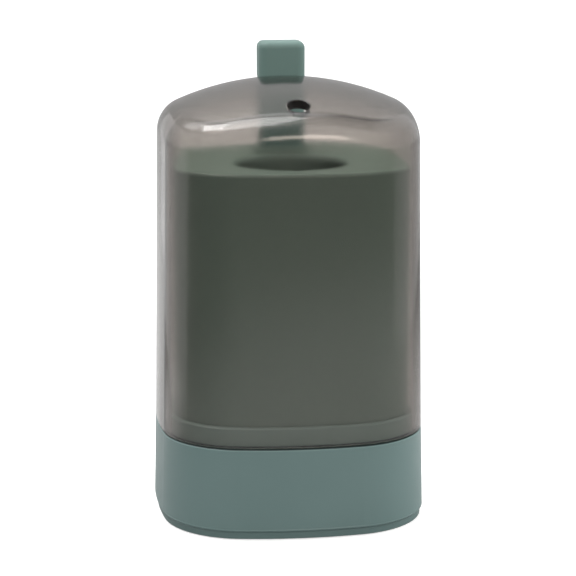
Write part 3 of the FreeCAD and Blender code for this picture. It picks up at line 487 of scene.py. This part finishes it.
def geometry_tree(name, inputs):
    """A Geometry Nodes tree with these named inputs, and its two end nodes."""
    group = bpy.data.node_groups.new(name, "GeometryNodeTree")
    group.interface.new_socket(name="Geometry", in_out="INPUT", socket_type="NodeSocketGeometry")
    for label, kind in inputs:
        group.interface.new_socket(name=label, in_out="INPUT", socket_type=kind)
    group.interface.new_socket(name="Geometry", in_out="OUTPUT", socket_type="NodeSocketGeometry")
    return group, group.nodes.new("NodeGroupInput"), group.nodes.new("NodeGroupOutput")


def plain_result(name, tree, values, material):
    """The tree's result as an object with a plain mesh and no modifier."""
    maker = bpy.data.objects.new(name, bpy.data.meshes.new(name))
    bpy.context.scene.collection.objects.link(maker)
    modifier = maker.modifiers.new(name, "NODES")
    modifier.node_group = tree
    for item in tree.interface.items_tree:
        if item.in_out == "INPUT" and item.name in values:
            modifier[item.identifier] = values[item.name]
    maker.update_tag()
    bpy.context.view_layer.update()
    made = maker.evaluated_get(bpy.context.evaluated_depsgraph_get())
    mesh = bpy.data.meshes.new_from_object(made)
    maker.modifiers.clear()
    maker.data = mesh
    mesh.name = name
    if not mesh.materials:
        mesh.materials.append(material)
    return maker


screw_tree, given, result = geometry_tree("screws_in_rows", [
    ("Screw", "NodeSocketObject"), ("Across", "NodeSocketFloat"), ("Along", "NodeSocketFloat"),
    ("Height", "NodeSocketFloat"), ("Seed", "NodeSocketInt"), ("Steel", "NodeSocketMaterial"),
])
nodes, links = screw_tree.nodes, screw_tree.links
rows = nodes.new("GeometryNodeMeshGrid")
rows.inputs["Vertices X"].default_value = 2
rows.inputs["Vertices Y"].default_value = 2
links.new(given.outputs["Across"], rows.inputs["Size X"])
links.new(given.outputs["Along"], rows.inputs["Size Y"])
lift = nodes.new("GeometryNodeTransform")
level = nodes.new("ShaderNodeCombineXYZ")
links.new(given.outputs["Height"], level.inputs["Z"])
links.new(rows.outputs["Mesh"], lift.inputs["Geometry"])
links.new(level.outputs[0], lift.inputs["Translation"])
turn = nodes.new("FunctionNodeRandomValue")
turn.data_type = "FLOAT"
turn.inputs[3].default_value = math.tau
links.new(given.outputs["Seed"], turn.inputs["Seed"])
about = nodes.new("ShaderNodeCombineXYZ")
links.new(turn.outputs[1], about.inputs["Z"])
screw_shape = nodes.new("GeometryNodeObjectInfo")
links.new(given.outputs["Screw"], screw_shape.inputs["Object"])
on_places = nodes.new("GeometryNodeInstanceOnPoints")
links.new(lift.outputs["Geometry"], on_places.inputs["Points"])
links.new(screw_shape.outputs["Geometry"], on_places.inputs["Instance"])
links.new(about.outputs[0], on_places.inputs["Rotation"])
real = nodes.new("GeometryNodeRealizeInstances")
links.new(on_places.outputs["Instances"], real.inputs["Geometry"])
painted = nodes.new("GeometryNodeSetMaterial")
links.new(real.outputs["Geometry"], painted.inputs["Geometry"])
links.new(given.outputs["Steel"], painted.inputs["Material"])
links.new(painted.outputs["Geometry"], result.inputs["Geometry"])

one_screw = turned_screw()
for group_name, seed in (("bottom_screws", 3), ("container_screws", 8)):
    low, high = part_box(group_name)
    screws = plain_result(f"{group_name}_turned", screw_tree, {
        "Screw": one_screw,
        "Across": high[0] - low[0] - 2 * screw_head_radius,
        "Along": high[1] - low[1] - 2 * screw_head_radius,
        "Height": low[2], "Seed": seed, "Steel": steel,
    }, steel)
    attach(screws, "base")
    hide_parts(group_name)
bpy.data.objects.remove(one_screw)

# Inner container and the floor of its well: one tall open box moulded in a slightly greener
# teal, with a flat top plate, the round well for the picks and the button's square sleeve.
container_teal = moulded_plastic(
    "container_teal", (0.087, 0.119, 0.098), (0.096, 0.130, 0.107), 0.46, 0.38, 0.015 * mm
)


def painted_shade_and_light(material, mask, share):
    """Multiplies the material's colour by this share where the mask is one: painted shade below
    one, painted light above one.
    """
    tree = material.node_tree
    socket = tree.nodes["Principled BSDF"].inputs["Base Color"]
    shade = tree.nodes.new("ShaderNodeMix")
    shade.data_type, shade.blend_type = "RGBA", "MULTIPLY"
    shade.inputs["B"].default_value = (share, share, share, 1)
    tree.links.new(socket.links[0].from_socket, shade.inputs["A"])
    tree.links.new(mask, shade.inputs["Factor"])
    tree.links.new(shade.outputs["Result"], socket)


# Painted shade and light, set to match the photograph's levels and not known of the real thing:
# the well's bore painted nearly black with shade and without shine, and painted light that makes
# the top plate paler than the walls
tree = container_teal.node_tree
place = tree.nodes.new("ShaderNodeTexCoord")
floor_low, floor_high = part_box("well_floor")
well_middle = tree.nodes.new("ShaderNodeVectorMath")
well_middle.operation = "DISTANCE"
well_middle.inputs[1].default_value = (0, (floor_low[1] + floor_high[1]) / 2 + 0.4 * mm, 0)
flat = tree.nodes.new("ShaderNodeVectorMath")
flat.operation = "MULTIPLY"
flat.inputs[1].default_value = (1, 1, 0)
tree.links.new(place.outputs["Object"], flat.inputs[0])
tree.links.new(flat.outputs["Vector"], well_middle.inputs[0])
height = tree.nodes.new("ShaderNodeSeparateXYZ")
tree.links.new(place.outputs["Object"], height.inputs[0])
well_reach = (floor_high[0] - floor_low[0]) / 2 - 1.1 * mm
sleeve_above_plate = 1.2 * mm
plate_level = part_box("inner_container")[1][2] - sleeve_above_plate
deep, mouth = plate_level - 2.2 * mm, plate_level - 0.6 * mm
# Painted shade in the well's bore and painted light on the top plate
well_painted_shade, plate_painted_light = 0.05, 1.32
inside = joined(
    tree, "MULTIPLY",
    spread(tree, well_middle.outputs["Value"], well_reach, well_reach + 0.4 * mm, 1, 0),
    spread(tree, height.outputs["Z"], deep, mouth, 1, 0, soft=True),
)
painted_shade_and_light(container_teal, inside, well_painted_shade)
shine = tree.nodes["Principled BSDF"].inputs["Specular IOR Level"]
tree.links.new(spread(tree, inside, 0, 1, shine.default_value, 0), shine)
on_plate = spread(tree, height.outputs["Z"], plate_level - 0.5 * mm, plate_level - 0.1 * mm, 0, 1)
painted_shade_and_light(container_teal, on_plate, plate_painted_light)
finish_node("inner_container", container_teal)
finish_node("well_floor", container_teal)

# Rocker works: a natural moulded lever on a steel pin tips under the column and lifts the
# square foot in front, whose steel pin pushes one pick up. One wire spring sends it back.
natural = moulded_plastic(
    "natural_moulding", (0.70, 0.70, 0.66), (0.78, 0.78, 0.74), 0.42, 0.34, 0.015 * mm
)
finish_node("rocker_lever", natural)
finish_node("lifter_foot", natural)
for name in ("rocker_pin", "lifter_pin", "return_spring"):
    finish_node(name, steel)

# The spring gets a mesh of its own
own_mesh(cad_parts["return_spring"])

# Push column and its cap: a hollow square column that slides in the sleeve, with a rounded
# cap snapped on top, both in a matt teal a shade lighter than the base.
button_teal = moulded_plastic(
    "button_teal", (0.094, 0.150, 0.136), (0.104, 0.162, 0.147), 0.50, 0.44, 0.015 * mm
)
button_teal.node_tree.nodes["Principled BSDF"].inputs["Specular IOR Level"].default_value = 0.3
finish_node("button_cap", button_teal)
finish_node("push_column", button_teal)

# Smoked cover: one clear moulding in brown-grey smoke, polished inside and out, with a
# crowned top, the round outlet in its front shoulder and the button's opening behind.
smoke = bpy.data.materials.new("smoked_clear")
smoke.use_nodes = True
tree = smoke.node_tree
surface = tree.nodes["Principled BSDF"]
surface.inputs["Base Color"].default_value = (1, 1, 1, 1)
surface.inputs["Roughness"].default_value = 0.15
surface.inputs["IOR"].default_value = 1.49
surface.inputs["Metallic"].default_value = 0
surface.inputs["Transmission Weight"].default_value = 1
place = tree.nodes.new("ShaderNodeTexCoord")
swirl = noise(tree, place.outputs["Object"], 60, detail=2, roughness=0.4)
wave = tree.nodes.new("ShaderNodeBump")
wave.inputs["Distance"].default_value = 0.03 * mm
wave.inputs["Strength"].default_value = 0.3
tree.links.new(swirl.outputs["Fac"], wave.inputs["Height"])
tree.links.new(wave.outputs["Normal"], surface.inputs["Normal"])

# A stand-in: light that only falls through the cover on the pieces inside isn't bent or dyed
for_shade = tree.nodes.new("ShaderNodeBsdfTransparent")
for_shade.inputs["Color"].default_value = (0.97, 0.97, 0.97, 1)
path = tree.nodes.new("ShaderNodeLightPath")
passes = tree.nodes.new("ShaderNodeMath")
passes.operation = "MAXIMUM"
tree.links.new(path.outputs["Is Shadow Ray"], passes.inputs[0])
tree.links.new(path.outputs["Is Diffuse Ray"], passes.inputs[1])
either = tree.nodes.new("ShaderNodeMixShader")
tree.links.new(passes.outputs[0], either.inputs["Fac"])
tree.links.new(surface.outputs["BSDF"], either.inputs[1])
tree.links.new(for_shade.outputs["BSDF"], either.inputs[2])
tree.links.new(either.outputs["Shader"], tree.nodes["Material Output"].inputs["Surface"])
dye = tree.nodes.new("ShaderNodeVolumeAbsorption")
dye.inputs["Color"].default_value = (0.47, 0.425, 0.385, 1)
dye.inputs["Density"].default_value = 600
seen_dye = tree.nodes.new("ShaderNodeMixShader")
tree.links.new(passes.outputs[0], seen_dye.inputs["Fac"])
tree.links.new(dye.outputs["Volume"], seen_dye.inputs[1])
tree.links.new(seen_dye.outputs["Shader"], tree.nodes["Material Output"].inputs["Volume"])
finish_node("cover_shell", smoke)

low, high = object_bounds()
